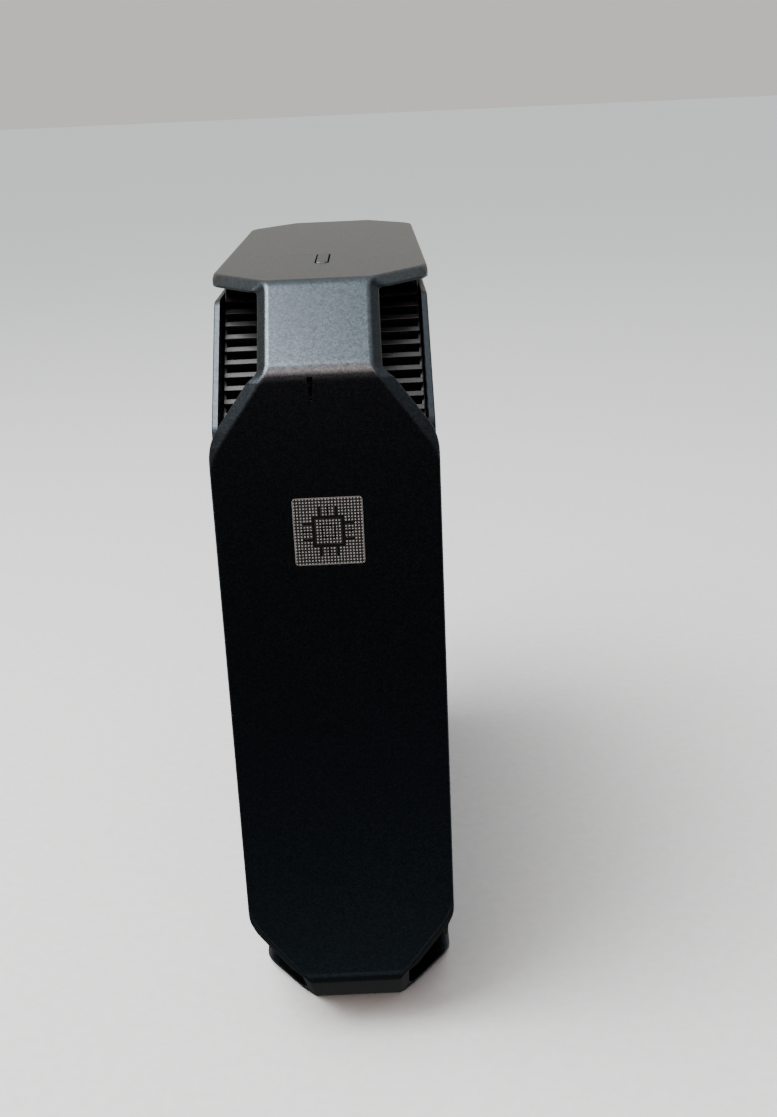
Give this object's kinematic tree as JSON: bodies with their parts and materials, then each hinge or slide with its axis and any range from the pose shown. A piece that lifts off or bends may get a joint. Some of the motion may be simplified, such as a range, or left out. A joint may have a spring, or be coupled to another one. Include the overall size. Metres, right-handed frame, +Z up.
{
  "type": "mini pc",
  "caption": "Compact square desktop workstation standing on edge, with a wrap-round band, louvred bevelled corners, a lift-off side cover and a rear socket field.",
  "frame": {"origin": "middle of the face the computer stands on, under the middle of its bounding box", "axes": "+Z up, -Y towards the front face with the badge, +X towards the access cover, -X towards the base cover with the feet"},
  "size_m": [0.059, 0.216, 0.2163],
  "materials": {
    "dark_metallic_paint": "satin, fine metallic grain",
    "cover_plastic": "fine texture",
    "black_plastic": "fine texture",
    "rubber": "matt",
    "plated_steel": "zinc or nickel plated",
    "bare_aluminium": "bare",
    "copper": "bare copper, slightly dulled",
    "circuit_board": "solder mask over glass laminate",
    "chip_plastic": "moulded",
    "badge_metal": "satin, fine dot pattern",
    "smoked_lens": "smoked"
  },
  "bodies": {
    "case": {"side_band": "dark_metallic_paint", "base_cover": "cover_plastic", "grille_rear_top": "black_plastic", "grille_front_top": "black_plastic", "grille_front_base": "black_plastic", "grille_rear_base": "black_plastic", "blower_case_top": "black_plastic", "blower_case_base": "black_plastic", "memory_socket_1": "black_plastic", "memory_socket_2": "black_plastic", "speaker": "black_plastic", "antenna_lead_top": "black_plastic", "antenna_lead_front": "black_plastic", "audio_socket": "black_plastic", "foot_1": "rubber", "foot_2": "rubber", "foot_3": "rubber", "foot_4": "rubber", "cover_screw_1": "plated_steel", "cover_screw_2": "plated_steel", "cover_screw_3": "plated_steel", "cover_screw_4": "plated_steel", "latch_spring": "plated_steel", "inner_tray": "plated_steel", "processor_socket": "plated_steel", "blower_bridge": "plated_steel", "clock_cell": "plated_steel", "drive_cage": "plated_steel", "power_inlet": "plated_steel", "network_socket": "plated_steel", "usb_stack_1": "plated_steel", "usb_stack_2": "plated_steel", "display_socket_1": "plated_steel", "display_socket_2": "plated_steel", "usb_c_stack": "plated_steel", "socket_plate": "plated_steel", "processor": "bare_aluminium", "processor_heat_sink": "bare_aluminium", "graphics_heat_sink": "bare_aluminium", "storage_drive": "bare_aluminium", "processor_heat_pipe": "copper", "graphics_heat_pipe": "copper", "power_switch": "circuit_board", "mainboard": "circuit_board", "graphics_card": "circuit_board", "memory_module_1": "circuit_board", "memory_module_2": "circuit_board", "solid_state_drive": "circuit_board", "radio_card": "circuit_board", "antenna_top": "circuit_board", "antenna_front": "circuit_board", "graphics_connector": "chip_plastic", "badge": "badge_metal", "activity_light": "smoked_lens"},
    "power_button": {"power_button": "dark_metallic_paint"},
    "release_latch": {"release_latch": "black_plastic"},
    "access_cover": {"access_cover": "cover_plastic"},
    "blower_wheel_top": {"blower_wheel_top": "chip_plastic"},
    "blower_wheel_base": {"blower_wheel_base": "chip_plastic"}
  },
  "joints": [
    {"name": "power_button_press", "type": "slide", "parent": "case", "child": "power_button", "axis": [0, 0, -1], "range_m": [0, 0.0008], "stiffness_N_per_m": 500, "springref_m": -0.0006},
    {"name": "release_latch_slide", "type": "slide", "parent": "case", "child": "release_latch", "axis": [0, 0, 1], "range_m": [0, 0.0075], "stiffness_N_per_m": 80, "springref_m": -0.004, "deforming": ["latch_spring"]},
    {"name": "access_cover_swing", "type": "hinge", "parent": "case", "child": "access_cover", "pos_m": [0.02655, -0.1034, 0.108], "axis": [0, 0, -1], "range_deg": [0, 25]},
    {"name": "blower_wheel_top_spin", "type": "hinge", "parent": "case", "child": "blower_wheel_top", "pos_m": [0.01255, -0.048, 0.1515], "axis": [1, 0, 0], "continuous": true},
    {"name": "blower_wheel_base_spin", "type": "hinge", "parent": "case", "child": "blower_wheel_base", "pos_m": [0.01255, -0.048, 0.0645], "axis": [1, 0, 0], "continuous": true}
  ]
}
